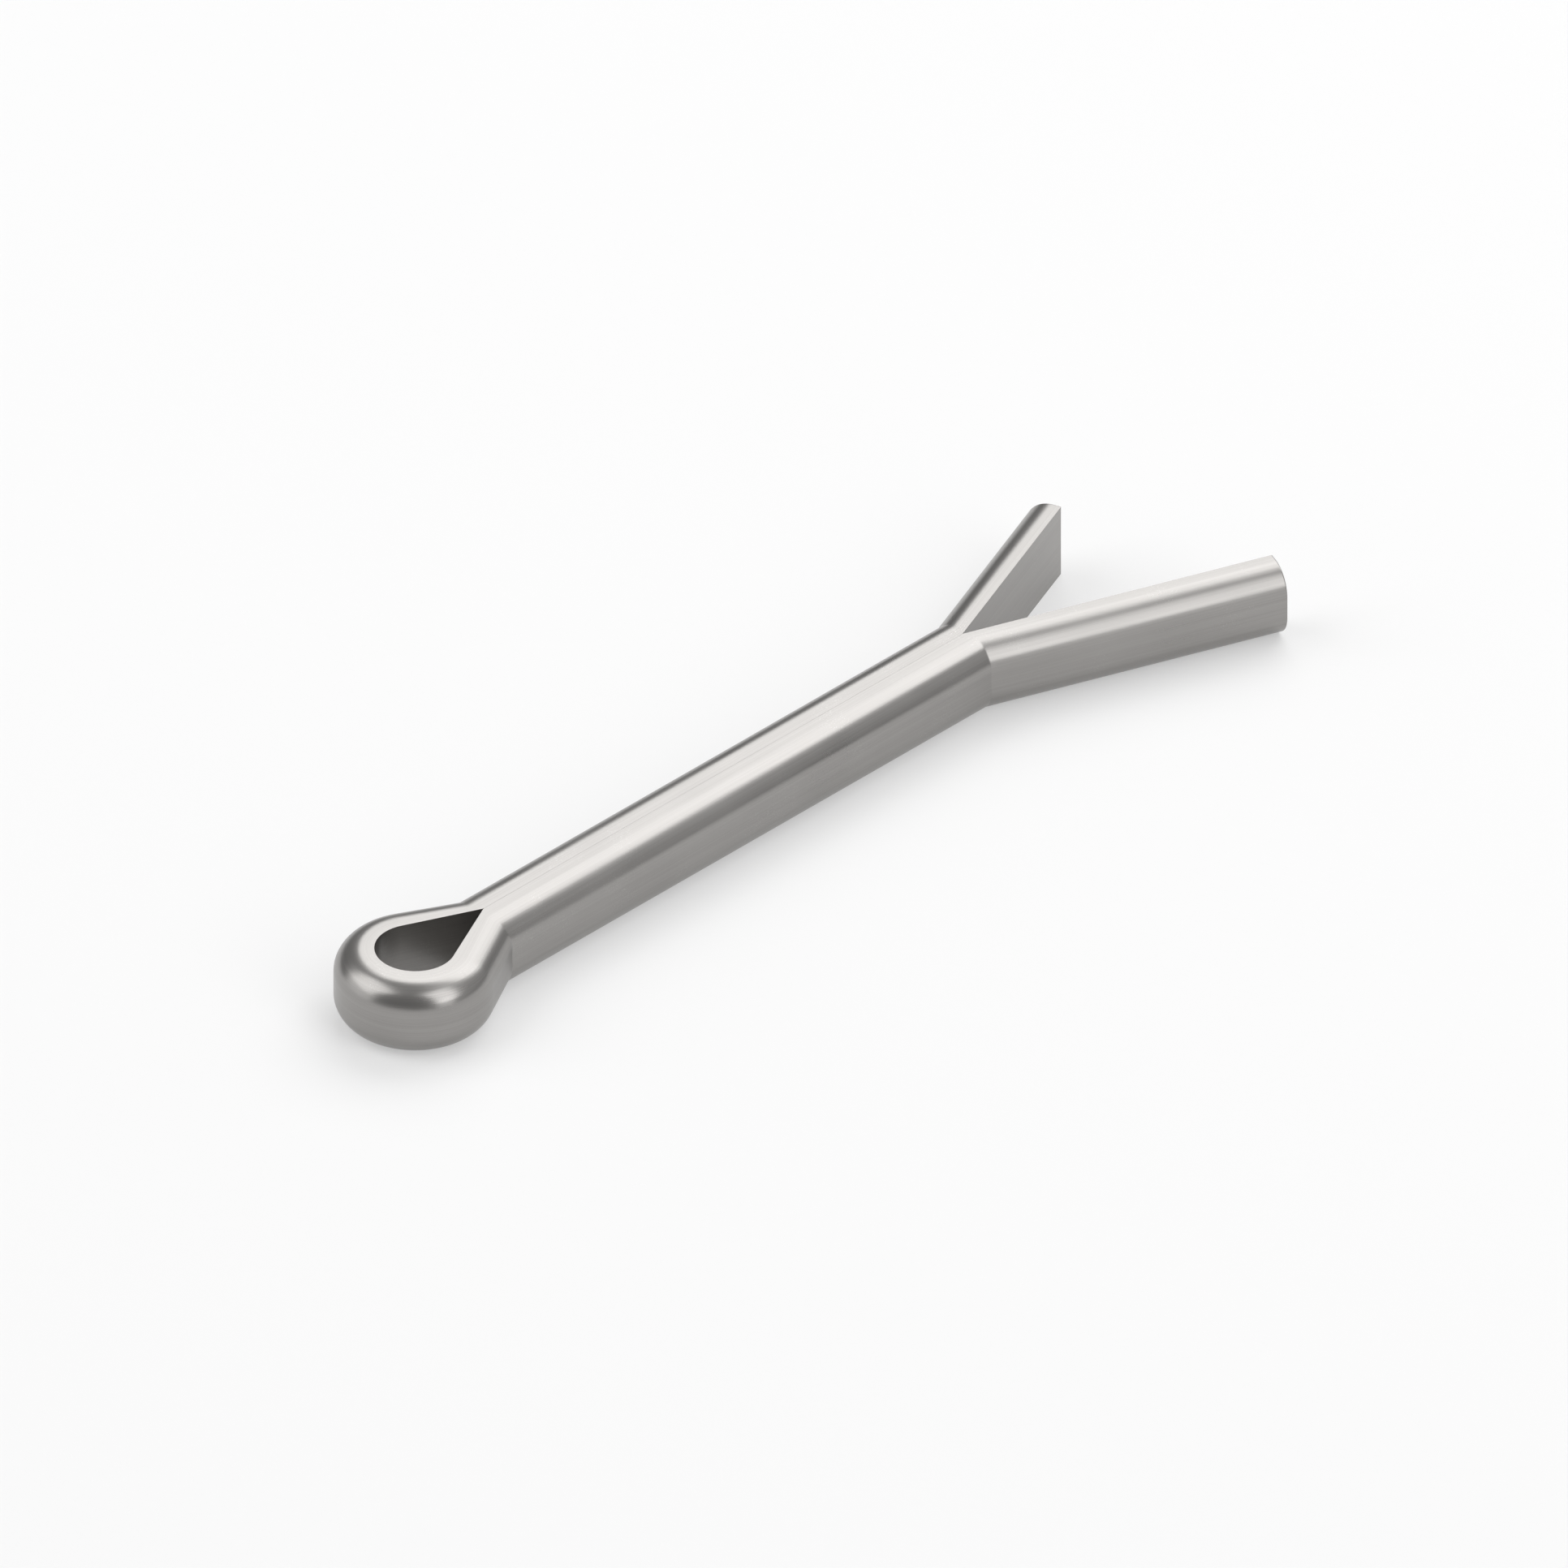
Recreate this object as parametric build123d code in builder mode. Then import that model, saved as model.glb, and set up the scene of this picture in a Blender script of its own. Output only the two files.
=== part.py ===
"""Split pin: one length of D-section steel wire, folded back on itself.

The fold is a teardrop eye. From the eye's root the two legs lie flat face to flat face and make the
shank, and past the parting line their ends are spread apart. One leg is longer than the other, so that
the two ends can be told apart and prised open.

Frame, in millimetres: the origin is on the shank's axis at the eye's root, +X runs along the shank to the
spread ends, and +Z is the axis of the eye. The pin lies on the flat of its underside.
"""

import os
from math import acos, atan2, degrees, hypot, isclose, radians, sin

from build123d import *

# Wire
wire_height = 3.55
back_corner_radius = 1.24

# Shank: two legs side by side, with a hairline between their flat faces
shank_width = 3.55
shank_length = 29.42
leg_gap = 0.02

# Spread legs, measured along the flat face of the wire
short_leg_spread_length = 10.58
long_leg_spread_length = 14.73
spread_angle = 21.0

# Eye
eye_center_distance = 4.2
eye_inner_radius = 1.775
eye_wire_width = 1.775

# Places that follow from the sizes
FULL_TURN = 360.0
half_gap = leg_gap / 2
half_width = shank_width / 2
eye_center = Vector(-eye_center_distance, 0)
eye_outer_radius = eye_inner_radius + eye_wire_width


def eye_tangent_angle(offset, eye_radius):
    """Angle round the eye's middle where a line from beside the root, at that offset, meets the eye's arc."""
    root_angle = atan2(offset, eye_center_distance)
    return degrees(root_angle + acos(eye_radius / hypot(offset, eye_center_distance)))


def leg_points(side, offset, eye_radius, spread_length):
    """Corners of one face of a leg in plan, from its spread end to where it runs into the eye's arc."""
    parting = Vector(shank_length, side * offset)
    cut_back = (offset - half_gap) * sin(radians(spread_angle))
    spread_end = parting + Vector(spread_length - cut_back, 0).rotate(Axis.Z, side * spread_angle)
    root = Vector(0, side * offset)
    touch = Vector(eye_radius, 0).rotate(Axis.Z, side * eye_tangent_angle(offset, eye_radius))
    return [spread_end, parting, root, eye_center + touch]


def wire_face(offset, eye_radius):
    """One face of the wire in plan: the long leg on the -Y side, round the eye, the short leg on the +Y side."""
    tangent_angle = eye_tangent_angle(offset, eye_radius)
    Polyline(*leg_points(-1, offset, eye_radius, long_leg_spread_length))
    CenterArc(eye_center, eye_radius, tangent_angle, FULL_TURN - 2 * tangent_angle)
    Polyline(*leg_points(1, offset, eye_radius, short_leg_spread_length))


# The wire's flat face turns towards the other leg, and its back looks outwards
with BuildLine() as flat_face:
    wire_face(half_gap, eye_inner_radius)
with BuildLine() as back:
    wire_face(half_width, eye_outer_radius)

with BuildPart() as split_pin:
    with BuildSketch() as plan:
        with BuildLine():
            add(flat_face.line)
            add(back.line)
            # The ends are cut square to the spread legs
            for side, spread_length in ((-1, long_leg_spread_length), (1, short_leg_spread_length)):
                flat_face_end = leg_points(side, half_gap, eye_inner_radius, spread_length)[0]
                back_end = leg_points(side, half_width, eye_outer_radius, spread_length)[0]
                Line(flat_face_end, back_end)
        make_face()
    extrude(amount=wire_height / 2, both=True)
    # Both corners of the wire's back are well rounded, and each bend leaves a crease across them
    back_rims = split_pin.edges().filter_by(
        lambda edge: isclose(back.line.distance_to(edge @ 0.5), wire_height / 2))
    fillet(back_rims, back_corner_radius)

split_pin.part.label = "split_pin"

os.makedirs("parts", exist_ok=True)
export_step(split_pin.part, "parts/split_pin.step")
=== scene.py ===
"""Looks of a split pin: its folded wire as a mesh, its drawn steel finish, and a pale studio stage."""

import math

import bmesh
import bpy
from bpy.props import FloatProperty, FloatVectorProperty, IntProperty, PointerProperty
from bpy.types import Operator, Panel, PropertyGroup
from mathutils import Matrix, Vector


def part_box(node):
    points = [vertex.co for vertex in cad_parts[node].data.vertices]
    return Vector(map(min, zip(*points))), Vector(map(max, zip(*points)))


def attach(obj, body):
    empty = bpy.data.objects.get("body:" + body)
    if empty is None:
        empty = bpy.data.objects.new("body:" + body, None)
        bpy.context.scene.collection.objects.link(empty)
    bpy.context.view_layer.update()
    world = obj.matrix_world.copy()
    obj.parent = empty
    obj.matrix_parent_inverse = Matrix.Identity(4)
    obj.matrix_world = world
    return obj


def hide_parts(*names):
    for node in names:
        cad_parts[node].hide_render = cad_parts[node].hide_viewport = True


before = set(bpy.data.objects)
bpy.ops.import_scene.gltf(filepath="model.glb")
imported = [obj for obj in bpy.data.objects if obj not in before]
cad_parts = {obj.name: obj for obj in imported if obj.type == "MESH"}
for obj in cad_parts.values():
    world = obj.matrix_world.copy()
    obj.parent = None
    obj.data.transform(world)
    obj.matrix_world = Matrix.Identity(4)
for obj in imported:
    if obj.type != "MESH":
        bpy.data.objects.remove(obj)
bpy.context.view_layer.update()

bl_info = {
    "name": "Split Pin",
    "version": (1, 0, 0),
    "blender": (4, 5, 0),
    "location": "View3D > Sidebar > Split Pin",
    "description": "Bends a split pin from drawn steel wire and sets it on a studio stage",
    "category": "Object",
}

NODE = "split_pin"
BODY = "root"
PIN_LOW, PIN_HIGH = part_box(NODE)
UP = Vector((0, 0, 1))
ALONG_SHANK = Vector((1, 0, 0))

# Points closer than this are one point; it is far below the hairline between the legs
WELD_DISTANCE = 1e-7
# Edges that turn by less than this are shaded smooth
SMOOTH_ANGLE = math.radians(35)
# The map that lays the wire's skin out flat, its length along U and its girth along V, in metres
WIRE_MAP = "along_wire"

# The photograph's frame, where it shows the top of the eye's root, and how long the shank is in it
PHOTO_SIZE_PX = 1932
ROOT_AT_PX = (595.69, 1119.46)
SHANK_LENGTH_PX = 834.7

# The camera stands this far from the pin, and shows what lies between these distances
CAMERA_DISTANCE = 0.4
CAMERA_NEAR, CAMERA_FAR = 0.01, 4

# Patterns of the drawn steel in metres: lines by their length and width, specks and patches by their width
FINE_LINE = (0.012, 0.00007)
BROAD_LINE = (0.03, 0.0004)
GRAIN = 0.00005
CLOUD = 0.004
FLECK_PATCH = 0.0025
DRAWN_RELIEF = 0.0000005

# Patterns of the cut ends in metres, and the heights where the sheared part goes over into the broken one
SHEAR_LINE = (0.00006, 0.0012)
BROKEN_GRAIN = 0.00008
RAGGED_EDGE = 0.0005
RAGGED_HEIGHT = 0.0008
SHEAR_ENDS, BREAK_STARTS = -0.0004, -0.0007
CUT_RELIEF = 0.00002

# Floor, and the distance of the softboxes from the pin
FLOOR_SIZE = 1.2
SOFTBOX_DISTANCE = 0.5
# Softboxes as the pin sees them, in degrees: turn from +X towards +Y, lift over the horizon, and extent
SOFTBOXES = {
    "back": {"turn": 21, "lift": 47, "wide": 55, "tall": 39},
    "left": {"turn": 136, "lift": 46, "wide": 46, "tall": 42},
    "right": {"turn": 272, "lift": 42, "wide": 31, "tall": 50},
    "top": {"turn": 330, "lift": 70, "wide": 30, "tall": 24},
    "fill": {"turn": 322, "lift": 30, "wide": 60, "tall": 46},
    "low_left": {"turn": 140, "lift": 14, "wide": 50, "tall": 26},
    "low_right": {"turn": 266, "lift": 14, "wide": 26, "tall": 30},
}


class PinSizes(PropertyGroup):
    """Sizes of the folded wire."""

    wire_height: FloatProperty(
        name="Wire height", description="Across the wire's flat face",
        default=PIN_HIGH.z - PIN_LOW.z, unit="LENGTH")
    back_corner_radius: FloatProperty(
        name="Back corner radius", description="Radius of the two corners of the wire's back",
        default=0.00124, unit="LENGTH")
    shank_width: FloatProperty(
        name="Shank width", description="Across the backs of the two closed legs",
        default=0.00355, unit="LENGTH")
    shank_length: FloatProperty(
        name="Shank length", description="From the eye's root to where the legs part",
        default=0.02942, unit="LENGTH")
    leg_gap: FloatProperty(
        name="Leg gap", description="Hairline between the flat faces of the closed legs",
        default=0.000006, unit="LENGTH")
    short_leg_spread_length: FloatProperty(
        name="Short leg", description="Length of the spread end of the shorter leg",
        default=0.01058, unit="LENGTH")
    long_leg_spread_length: FloatProperty(
        name="Long leg", description="Length of the spread end of the longer leg",
        default=0.01473, unit="LENGTH")
    spread_angle: FloatProperty(
        name="Spread angle", description="Turn of each leg away from the shank",
        default=math.radians(21), subtype="ANGLE")
    eye_center_distance: FloatProperty(
        name="Eye distance", description="From the eye's root to the middle of its round end",
        default=0.0042, unit="LENGTH")
    eye_inner_radius: FloatProperty(
        name="Eye radius", description="Inner radius of the eye's round end",
        default=0.001775, unit="LENGTH")
    eye_wire_width: FloatProperty(
        name="Eye wire width", description="From the wire's flat face to its back round the eye",
        default=0.001775, unit="LENGTH")
    crease_ease: FloatProperty(
        name="Crease ease", description="How far each crease is eased on both sides of its line",
        default=0.00004, unit="LENGTH")
    end_ease: FloatProperty(
        name="End ease", description="How far the rim of each cut end is eased",
        default=0.00006, unit="LENGTH")
    corner_segments: IntProperty(
        name="Corner segments", description="Facets round each corner of the wire's back", default=16)
    eye_segments: IntProperty(
        name="Eye segments", description="Facets round each half of the eye", default=48)
    ease_segments: IntProperty(
        name="Ease segments", description="Facets across each eased crease and rim", default=3)


class SteelFinish(PropertyGroup):
    """Colours and roughness of the drawn wire and of its cut ends."""

    dark_steel: FloatVectorProperty(
        name="Dark steel", description="Colour in the hollows of the drawn lines",
        default=(0.294, 0.285, 0.276), subtype="COLOR", size=3, min=0, max=1)
    pale_steel: FloatVectorProperty(
        name="Pale steel", description="Colour on the crests of the drawn lines",
        default=(0.342, 0.332, 0.322), subtype="COLOR", size=3, min=0, max=1)
    fleck_steel: FloatVectorProperty(
        name="Flecks", description="Colour of the bright flecks in the skin",
        default=(0.46, 0.45, 0.44), subtype="COLOR", size=3, min=0, max=1)
    cut_steel: FloatVectorProperty(
        name="Cut steel", description="Colour of the sheared part of a cut end",
        default=(0.45, 0.44, 0.43), subtype="COLOR", size=3, min=0, max=1)
    broken_steel: FloatVectorProperty(
        name="Broken steel", description="Colour of the part of a cut end that broke away",
        default=(0.24, 0.235, 0.23), subtype="COLOR", size=3, min=0, max=1)
    roughness: FloatProperty(
        name="Roughness", description="Mean roughness of the drawn wire", default=0.3, min=0, max=1)
    cut_roughness: FloatProperty(
        name="Cut roughness", description="Mean roughness of the cut ends", default=0.42, min=0, max=1)


def brightness_setting(name, default):
    """A setting for how bright a part of the stage looks."""
    return FloatProperty(
        name=name, description="How bright it looks, as a share of white", default=default, min=0)


class StageLook(PropertyGroup):
    """Floor, light and camera."""

    floor_color: FloatVectorProperty(
        name="Floor", description="Colour of the floor",
        default=(0.79, 0.79, 0.79), subtype="COLOR", size=3, min=0, max=1)
    floor_glow: FloatProperty(
        name="Floor glow", description="Share of the floor that the camera and the steel see even and unlit",
        default=0.4, min=0, max=1)
    ground: brightness_setting("Ground past the floor", 0.975)
    horizon: brightness_setting("Room at the horizon", 0.23)
    zenith: brightness_setting("Room overhead", 0.38)
    back_brightness: brightness_setting("Back softbox", 2.6)
    left_brightness: brightness_setting("Left softbox", 1.95)
    right_brightness: brightness_setting("Right softbox", 2.05)
    top_brightness: brightness_setting("Top softbox", 0.55)
    fill_brightness: brightness_setting("Fill softbox", 0.28)
    low_left_brightness: brightness_setting("Low left softbox", 1.0)
    low_right_brightness: brightness_setting("Low right softbox", 0.85)
    azimuth: FloatProperty(
        name="Azimuth", description="Camera's turn round the pin",
        default=math.radians(-45), subtype="ANGLE")
    elevation: FloatProperty(
        name="Elevation", description="Camera's height over the horizon",
        default=math.radians(35), subtype="ANGLE")


def pick(piece, kind, test):
    """In edit mode, select the vertices, edges or faces whose middle passes a test, and nothing else."""
    bpy.ops.mesh.select_mode(type=kind)
    bpy.ops.mesh.select_all(action="DESELECT")
    mesh = bmesh.from_edit_mesh(piece.data)
    for element in {"VERT": mesh.verts, "EDGE": mesh.edges, "FACE": mesh.faces}[kind]:
        corners = [element] if kind == "VERT" else element.verts
        middle = sum((corner.co for corner in corners), Vector()) / len(corners)
        element.select_set(test(middle))
    mesh.select_flush_mode()
    bmesh.update_edit_mesh(piece.data)


def heading(angle):
    """Level direction at an angle from the shank's axis."""
    return Vector((math.cos(angle), math.sin(angle), 0))


def eye_center(sizes):
    """Middle of the eye's round end, at the height of the pin's underside."""
    return Vector((-sizes.eye_center_distance, 0, PIN_LOW.z))


def eye_tangent_angle(sizes, offset, eye_radius):
    """Angle round the eye's middle where a line from beside the root meets the eye's arc."""
    reach = sizes.eye_center_distance
    return math.atan2(offset, reach) + math.acos(eye_radius / math.hypot(offset, reach))


def near_leg_corners(sizes, offset, eye_radius):
    """Corners of one face of the near leg: the end of the eye's arc, the root, the parting, the cut end."""
    touch = eye_center(sizes) + heading(-eye_tangent_angle(sizes, offset, eye_radius)) * eye_radius
    root = Vector((0, -offset, PIN_LOW.z))
    parting = root + ALONG_SHANK * sizes.shank_length
    cut_back = (offset - sizes.leg_gap / 2) * math.sin(sizes.spread_angle)
    end = parting + heading(-sizes.spread_angle) * (sizes.short_leg_spread_length - cut_back)
    return [touch, root, parting, end]


def leg_ends(sizes):
    """The cut ends of the near, longer leg and of the far one, each as a point and an outward direction."""
    near = heading(-sizes.spread_angle)
    far = heading(sizes.spread_angle)
    parting = ALONG_SHANK * sizes.shank_length
    beside = Vector((0, sizes.leg_gap / 2, 0))
    return [
        (parting - beside + near * sizes.long_leg_spread_length, near),
        (parting + beside + far * sizes.short_leg_spread_length, far),
    ]


def start_wire():
    """A mesh at the origin with nothing in it, open for modelling."""
    bpy.ops.object.select_all(action="DESELECT")
    bpy.ops.mesh.primitive_plane_add(size=1, calc_uvs=False)
    wire = bpy.context.object
    wire.name = "pin_wire"
    bpy.ops.object.mode_set(mode="EDIT")
    bpy.ops.mesh.delete(type="VERT")
    return wire


def trace_face(sizes, offset, eye_radius):
    """Trace one face of the near half of the wire in plan: round the eye, then out along the leg."""
    middle = eye_center(sizes)
    crown = middle - ALONG_SHANK * eye_radius
    bpy.ops.mesh.primitive_plane_add(size=eye_radius, calc_uvs=False, location=crown)
    bpy.ops.mesh.merge(type="CENTER")
    bpy.ops.mesh.spin(
        steps=sizes.eye_segments, angle=math.pi - eye_tangent_angle(sizes, offset, eye_radius),
        center=middle, axis=-UP)
    corners = near_leg_corners(sizes, offset, eye_radius)
    for start, stop in zip(corners, corners[1:]):
        bpy.ops.mesh.extrude_vertices_move(TRANSFORM_OT_translate={"value": stop - start})


def fill_between_faces():
    """Fill the plan of the wire between its flat face and its back."""
    bpy.ops.mesh.select_mode(type="EDGE")
    bpy.ops.mesh.select_all(action="SELECT")
    bpy.ops.mesh.bridge_edge_loops()


def mirror_leg(wire):
    """Make the far half of the eye and the far leg from the near ones, welded at the eye's crown."""
    bpy.ops.object.mode_set(mode="OBJECT")
    bpy.ops.object.modifier_add(type="MIRROR")
    mirror = wire.modifiers[-1]
    mirror.use_axis = (False, True, False)
    mirror.merge_threshold = WELD_DISTANCE
    bpy.ops.object.modifier_apply(modifier=mirror.name)
    bpy.ops.object.mode_set(mode="EDIT")


def lengthen_near_leg(wire, sizes):
    """Draw the near leg out to its own length."""
    end = near_leg_corners(sizes, sizes.leg_gap / 2, sizes.eye_inner_radius)[-1]
    spread = heading(-sizes.spread_angle)
    pick(wire, "VERT", lambda co: (co - end).dot(spread) > -WELD_DISTANCE)
    extra = sizes.long_leg_spread_length - sizes.short_leg_spread_length
    bpy.ops.transform.translate(value=spread * extra)


def raise_wire(sizes):
    """Raise the plan to the wire's height, as one closed skin."""
    bpy.ops.mesh.select_mode(type="FACE")
    bpy.ops.mesh.select_all(action="SELECT")
    bpy.ops.mesh.extrude_region_move(TRANSFORM_OT_translate={"value": UP * sizes.wire_height})
    bpy.ops.mesh.select_all(action="SELECT")
    bpy.ops.mesh.remove_doubles(threshold=WELD_DISTANCE)
    bpy.ops.mesh.normals_make_consistent(inside=False)


def round_back(wire, sizes):
    """Round both corners of the wire's back, along its whole length."""
    shank_back = Vector((sizes.shank_length / 2, -sizes.shank_width / 2, 0))
    rims = [shank_back + UP * sizes.wire_height / 2, shank_back - UP * sizes.wire_height / 2]
    pick(wire, "EDGE", lambda co: any((co - rim).length < WELD_DISTANCE for rim in rims))
    bpy.ops.mesh.loop_multi_select(ring=False)
    bpy.ops.mesh.bevel(
        affect="EDGES", offset=sizes.back_corner_radius, segments=sizes.corner_segments, profile=0.5,
        loop_slide=False)


def ease_creases(wire, sizes):
    """Ease the crease at each bend of both legs, so that it is a tight bend and catches the light."""
    bends = [
        Vector((along, side * sizes.shank_width / 2, 0))
        for along in (0, sizes.shank_length) for side in (-1, 1)]
    pick(wire, "EDGE", lambda co: any((co - bend).length < WELD_DISTANCE for bend in bends))
    bpy.ops.mesh.loop_multi_select(ring=False)
    bpy.ops.mesh.bevel(
        affect="EDGES", offset=sizes.crease_ease, segments=sizes.ease_segments, profile=0.5)


def unwrap_along_wire(wire):
    """Lay the skin out flat from the widest face of a leg, which lies along the shank."""
    bpy.ops.object.mode_set(mode="OBJECT")
    wire.data.uv_layers.new(name=WIRE_MAP)
    bpy.ops.object.mode_set(mode="EDIT")
    bpy.ops.mesh.select_mode(type="FACE")
    bpy.ops.mesh.select_all(action="SELECT")
    mesh = bmesh.from_edit_mesh(wire.data)
    start = max(mesh.faces, key=lambda face: face.calc_area())
    flat = mesh.loops.layers.uv[WIRE_MAP]
    for face in mesh.faces:
        for loop in face.loops:
            loop[flat].select = True
    for loop in start.loops:
        loop[flat].uv = loop.vert.co.xz
    mesh.faces.active = start
    bmesh.update_edit_mesh(wire.data)
    bpy.ops.uv.follow_active_quads(mode="LENGTH_AVERAGE")


def finish_ends(wire, sizes):
    """Give both cut ends their own finish and ease their rims."""
    ends = leg_ends(sizes)
    pick(wire, "FACE", lambda co: any(abs((co - end).dot(out)) < WELD_DISTANCE for end, out in ends))
    wire.active_material_index = wire.data.materials.find("cut_steel")
    bpy.ops.object.material_slot_assign()
    bpy.ops.mesh.bevel(
        affect="EDGES", offset=sizes.end_ease, segments=sizes.ease_segments, profile=0.5)


def smooth_skin(wire):
    """Shade the rounded corners and the eye smooth, and keep the flats flat and their edges crisp."""
    bpy.ops.object.mode_set(mode="OBJECT")
    bpy.ops.object.shade_smooth_by_angle(angle=SMOOTH_ANGLE, keep_sharp_edges=True)
    bpy.ops.object.modifier_add(type="WEIGHTED_NORMAL")
    flats = wire.modifiers[-1]
    flats.keep_sharp = True
    bpy.ops.object.modifier_apply(modifier=flats.name)


def bend_wire(sizes, finish):
    """The whole folded wire as one closed mesh with its finishes."""
    wire = start_wire()
    trace_face(sizes, sizes.leg_gap / 2, sizes.eye_inner_radius)
    trace_face(sizes, sizes.shank_width / 2, sizes.eye_inner_radius + sizes.eye_wire_width)
    fill_between_faces()
    mirror_leg(wire)
    lengthen_near_leg(wire, sizes)
    raise_wire(sizes)
    round_back(wire, sizes)
    ease_creases(wire, sizes)
    unwrap_along_wire(wire)
    wire.data.materials.append(drawn_steel(finish))
    wire.data.materials.append(cut_steel(finish))
    finish_ends(wire, sizes)
    smooth_skin(wire)
    return wire


class Value:
    """A number, colour or place that varies over a surface. Maths on numbers adds Math nodes."""

    def __init__(self, nodes, socket):
        self.nodes = nodes
        self.socket = socket

    def math(self, operation, first, second):
        """What a Math node makes of two numbers."""
        made = self.nodes.add("ShaderNodeMath", {"operation": operation}, {0: first, 1: second})
        return self.nodes.output(made, "Value")

    def __add__(self, other):
        return self.math("ADD", self, other)

    def __radd__(self, other):
        return self.math("ADD", other, self)

    def __sub__(self, other):
        return self.math("SUBTRACT", self, other)

    def __rsub__(self, other):
        return self.math("SUBTRACT", other, self)

    def __mul__(self, other):
        return self.math("MULTIPLY", self, other)

    def __rmul__(self, other):
        return self.math("MULTIPLY", other, self)

    def __gt__(self, other):
        return self.math("GREATER_THAN", self, other)


class Nodes:
    """A node tree that is built from nothing."""

    # Places of the colour sockets on a Mix node
    MIX_FACTOR, MIX_FIRST, MIX_SECOND, MIX_RESULT = 0, 6, 7, 2

    def __init__(self, tree):
        self.tree = tree
        self.tree.nodes.clear()

    def add(self, kind, settings=None, sockets=None):
        """Add a node, set it up, then give its sockets their values or links."""
        made = self.tree.nodes.new(kind)
        for name, setting in (settings or {}).items():
            setattr(made, name, setting)
        for name, feed in (sockets or {}).items():
            if isinstance(feed, Value):
                self.tree.links.new(feed.socket, made.inputs[name])
            else:
                made.inputs[name].default_value = feed
        return made

    def output(self, node, name):
        """One output of a node."""
        return Value(self, node.outputs[name])

    def wire_place(self):
        """Place on the wire's skin, along it and round it, in metres."""
        return self.output(self.add("ShaderNodeUVMap", {"uv_map": WIRE_MAP}), "UV")

    def piece_place(self):
        """Place in the piece's own frame, in metres."""
        return self.output(self.add("ShaderNodeTexCoord"), "Object")

    def noise(self, place, lengths, detail=2.0):
        """Soft noise whose features are that long along each axis, in metres."""
        scale = [1 / length for length in lengths]
        stretched = self.add("ShaderNodeMapping", {"vector_type": "POINT"}, {
            "Vector": place, "Scale": scale})
        made = self.add("ShaderNodeTexNoise", {"noise_dimensions": "3D"}, {
            "Vector": self.output(stretched, "Vector"),
            "Scale": 1.0, "Detail": detail, "Roughness": 0.5})
        return self.output(made, "Fac")

    def specks(self, place, width, detail=2.0):
        """Soft noise whose specks are that wide, in metres."""
        return self.noise(place, (width, width, width), detail)

    def rise(self, value, low, high):
        """A smooth step from 0 at the low end to 1 at the high end."""
        made = self.add("ShaderNodeMapRange", {"interpolation_type": "SMOOTHSTEP"}, {
            "Value": value, "From Min": low, "From Max": high, "To Min": 0.0, "To Max": 1.0})
        return self.output(made, "Result")

    def mix(self, share, first, second):
        """One colour that goes over into another."""
        feeds = {self.MIX_FACTOR: share}
        for place, color in ((self.MIX_FIRST, first), (self.MIX_SECOND, second)):
            feeds[place] = color if isinstance(color, Value) else (*color, 1)
        return self.output(self.add("ShaderNodeMix", {"data_type": "RGBA"}, feeds), self.MIX_RESULT)

    def bump(self, height, depth):
        """Normals of a relief that is that deep, in metres, where its height runs from 0 to 1."""
        made = self.add("ShaderNodeBump", sockets={"Height": height, "Strength": 1.0, "Distance": depth})
        return self.output(made, "Normal")

    def metal(self, color, roughness, normal):
        """Bare metal as the tree's surface."""
        shader = self.add("ShaderNodeBsdfPrincipled", sockets={
            "Base Color": color, "Metallic": 1.0, "Roughness": roughness, "Normal": normal})
        self.add("ShaderNodeOutputMaterial", sockets={"Surface": self.output(shader, "BSDF")})


def new_material(name):
    """An empty material and its node tree."""
    material = bpy.data.materials.new(name)
    material.use_nodes = True
    return material, Nodes(material.node_tree)


def drawn_steel(finish):
    """Drawn wire: fine lines along it, a soft grain, bright flecks in patches, slow changes of gloss."""
    material, nodes = new_material("drawn_steel")
    skin = nodes.wire_place()
    piece = nodes.piece_place()
    fine_lines = nodes.noise(skin, (*FINE_LINE, 1))
    broad_lines = nodes.noise(skin, (*BROAD_LINE, 1))
    grain = nodes.specks(piece, GRAIN)
    cloud = nodes.specks(piece, CLOUD)
    patches = nodes.rise(nodes.specks(piece, FLECK_PATCH), 0.52, 0.64)
    flecks = nodes.rise(grain, 0.6, 0.7) * patches
    tone = fine_lines * 0.4 + broad_lines * 0.35 + cloud * 0.25
    color = nodes.mix(nodes.rise(tone, 0.3, 0.7), finish.dark_steel, finish.pale_steel)
    color = nodes.mix(flecks * 0.5, color, finish.fleck_steel)
    roughness = finish.roughness + (cloud - 0.5) * 0.12 + (broad_lines - 0.5) * 0.08
    relief = fine_lines * 0.6 + broad_lines * 0.2 + grain * 0.2
    nodes.metal(color, roughness, nodes.bump(relief, DRAWN_RELIEF))
    return material


def cut_steel(finish):
    """Cut end: a sheared part with lines down the cut, and below it the duller part that broke away."""
    material, nodes = new_material("cut_steel")
    piece = nodes.piece_place()
    line_width, line_length = SHEAR_LINE
    lines = nodes.noise(piece, (line_width, line_width, line_length))
    grain = nodes.specks(piece, BROKEN_GRAIN, detail=4.0)
    ragged = nodes.specks(piece, RAGGED_EDGE)
    split = nodes.add("ShaderNodeSeparateXYZ", sockets={"Vector": piece})
    height = nodes.output(split, "Z") + (ragged - 0.5) * RAGGED_HEIGHT
    broken = 1 - nodes.rise(height, BREAK_STARTS, SHEAR_ENDS)
    sheared = nodes.mix(lines, finish.dark_steel, finish.cut_steel)
    torn = nodes.mix(grain, finish.broken_steel, finish.dark_steel)
    roughness = finish.cut_roughness + (lines - 0.5) * 0.15 + broken * 0.15
    relief = (1 - broken) * lines * 0.3 + broken * grain
    nodes.metal(nodes.mix(broken, sheared, torn), roughness, nodes.bump(relief, CUT_RELIEF))
    return material


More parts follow.
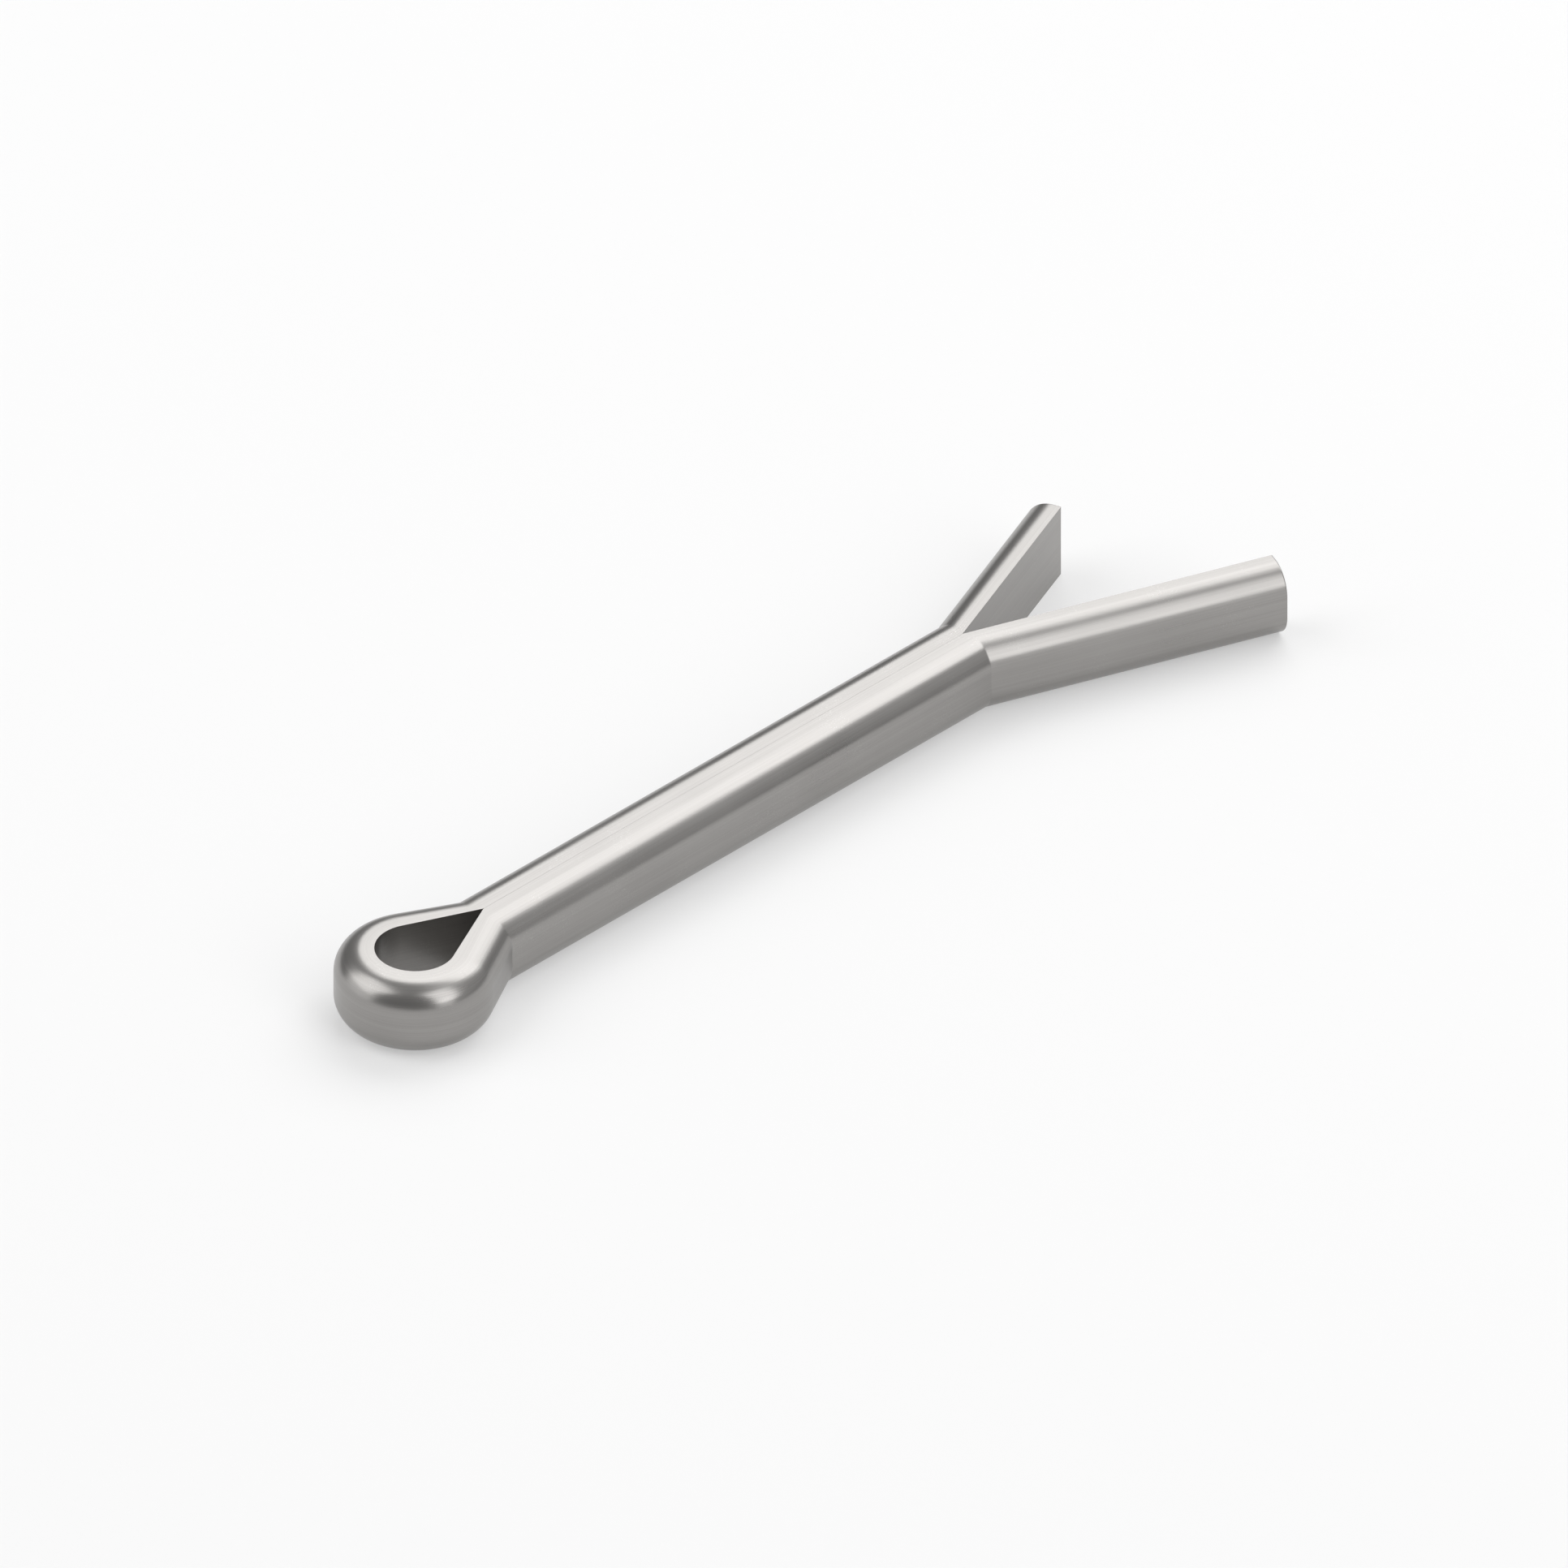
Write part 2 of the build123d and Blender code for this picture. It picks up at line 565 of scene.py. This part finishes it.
class SPLITPIN_OT_bend_wire(Operator):
    """Bend the wire: spin the eye, run out the legs with a crease at each bend and cut their ends"""

    bl_idname = "splitpin.bend_wire"
    bl_label = "Bend the wire"

    def execute(self, context):
        wire = bend_wire(context.scene.pin_sizes, context.scene.steel_finish)
        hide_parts(NODE)
        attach(wire, BODY)
        return {"FINISHED"}


def lay_floor(look):
    """A plain pale floor under the pin. Part of it is even and unlit to the camera and in the steel."""
    bpy.ops.object.select_all(action="DESELECT")
    bpy.ops.mesh.primitive_plane_add(size=FLOOR_SIZE, location=(0, 0, PIN_LOW.z))
    floor = bpy.context.object
    floor.name = "studio_floor"
    material, nodes = new_material("pale_floor")
    lit = nodes.add("ShaderNodeBsdfDiffuse", sockets={"Color": (*look.floor_color, 1)})
    even = nodes.add("ShaderNodeEmission", sockets={"Color": (1, 1, 1, 1), "Strength": look.ground})
    ray = nodes.add("ShaderNodeLightPath")
    kinds = ("Is Camera Ray", "Is Glossy Ray", "Is Transmission Ray")
    seen = sum(nodes.output(ray, kind) for kind in kinds)
    shader = nodes.add("ShaderNodeMixShader", sockets={
        0: seen * look.floor_glow, 1: nodes.output(lit, "BSDF"), 2: nodes.output(even, "Emission")})
    nodes.add("ShaderNodeOutputMaterial", sockets={"Surface": nodes.output(shader, "Shader")})
    floor.data.materials.append(material)


def set_camera(look, sizes):
    """A parallel camera that shows the pin at the photograph's angle, place and scale."""
    camera = bpy.data.objects.new("camera", bpy.data.cameras.new("camera"))
    bpy.context.scene.collection.objects.link(camera)
    turn = look.azimuth
    lift = look.elevation
    right = heading(turn)
    back = Vector((math.sin(turn) * math.cos(lift), -math.cos(turn) * math.cos(lift), math.sin(lift)))
    above = back.cross(right)
    metres_per_px = sizes.shank_length / SHANK_LENGTH_PX
    root_top = Vector((0, 0, PIN_HIGH.z))
    middle_px = PHOTO_SIZE_PX / 2
    aim = (root_top + right * (middle_px - ROOT_AT_PX[0]) * metres_per_px
           - above * (middle_px - ROOT_AT_PX[1]) * metres_per_px)
    turned = Matrix((right, above, back)).transposed().to_4x4()
    camera.matrix_world = Matrix.Translation(aim + back * CAMERA_DISTANCE) @ turned
    camera.data.type = "ORTHO"
    camera.data.ortho_scale = PHOTO_SIZE_PX * metres_per_px
    camera.data.clip_start = CAMERA_NEAR
    camera.data.clip_end = CAMERA_FAR
    bpy.context.scene.camera = camera


def softbox(name, brightness, turn, lift, wide, tall):
    """A rectangular lamp that faces the pin, seen from it at those angles, and looks that bright."""
    lamp = bpy.data.objects.new(name, bpy.data.lights.new(name, "AREA"))
    bpy.context.scene.collection.objects.link(lamp)
    lamp.data.shape = "RECTANGLE"
    lamp.data.size = 2 * SOFTBOX_DISTANCE * math.tan(math.radians(wide) / 2)
    lamp.data.size_y = 2 * SOFTBOX_DISTANCE * math.tan(math.radians(tall) / 2)
    lamp.data.energy = brightness * math.pi * lamp.data.size * lamp.data.size_y
    level = heading(math.radians(turn)) * math.cos(math.radians(lift))
    towards = level + UP * math.sin(math.radians(lift))
    lamp.location = towards * SOFTBOX_DISTANCE
    lamp.rotation_euler = towards.to_track_quat("Z", "Y").to_euler()


def light_world(look):
    """A room that brightens towards the zenith, and below its horizon a ground as pale as the floor."""
    world = bpy.data.worlds.new("surround")
    bpy.context.scene.world = world
    world.use_nodes = True
    nodes = Nodes(world.node_tree)
    direction = nodes.output(nodes.add("ShaderNodeTexCoord"), "Generated")
    split = nodes.add("ShaderNodeSeparateXYZ", sockets={"Vector": direction})
    height = nodes.output(split, "Z")
    room = look.horizon + height * (look.zenith - look.horizon)
    above = height > 0
    shader = nodes.add("ShaderNodeBackground", sockets={
        "Color": (1, 1, 1, 1), "Strength": above * room + (1 - above) * look.ground})
    nodes.add("ShaderNodeOutputWorld", sockets={"Surface": nodes.output(shader, "Background")})


class SPLITPIN_OT_set_stage(Operator):
    """Set the stage: a pale floor, soft studio light and a camera at the photograph's angle"""

    bl_idname = "splitpin.set_stage"
    bl_label = "Set the stage"

    def execute(self, context):
        look = context.scene.stage_look
        lay_floor(look)
        light_world(look)
        for name, place in SOFTBOXES.items():
            softbox(f"{name}_softbox", getattr(look, f"{name}_brightness"), **place)
        set_camera(look, context.scene.pin_sizes)
        context.scene.view_settings.view_transform = "Standard"
        return {"FINISHED"}


class SPLITPIN_PT_sidebar(Panel):
    """Sizes, finish, stage and steps of the split pin."""

    bl_idname = "SPLITPIN_PT_sidebar"
    bl_label = "Split Pin"
    bl_space_type = "VIEW_3D"
    bl_region_type = "UI"
    bl_category = "Split Pin"

    def draw(self, context):
        scene = context.scene
        for title, group, operator in (
                ("Wire", scene.pin_sizes, None),
                ("Finish", scene.steel_finish, SPLITPIN_OT_bend_wire),
                ("Stage", scene.stage_look, SPLITPIN_OT_set_stage)):
            box = self.layout.box()
            box.label(text=title)
            for name in group.__annotations__:
                box.prop(group, name)
            if operator:
                box.operator(operator.bl_idname)


CLASSES = (
    PinSizes, SteelFinish, StageLook, SPLITPIN_OT_bend_wire, SPLITPIN_OT_set_stage, SPLITPIN_PT_sidebar)


def register():
    """Make the settings, the steps and the sidebar known to Blender."""
    for cls in CLASSES:
        bpy.utils.register_class(cls)
    bpy.types.Scene.pin_sizes = PointerProperty(type=PinSizes)
    bpy.types.Scene.steel_finish = PointerProperty(type=SteelFinish)
    bpy.types.Scene.stage_look = PointerProperty(type=StageLook)


def unregister():
    """Take the settings, the steps and the sidebar away again."""
    del bpy.types.Scene.stage_look
    del bpy.types.Scene.steel_finish
    del bpy.types.Scene.pin_sizes
    for cls in reversed(CLASSES):
        bpy.utils.unregister_class(cls)


def main():
    """Bend the pin and set the stage."""
    register()
    bpy.ops.splitpin.bend_wire()
    bpy.ops.splitpin.set_stage()


if __name__ == "__main__":
    main()
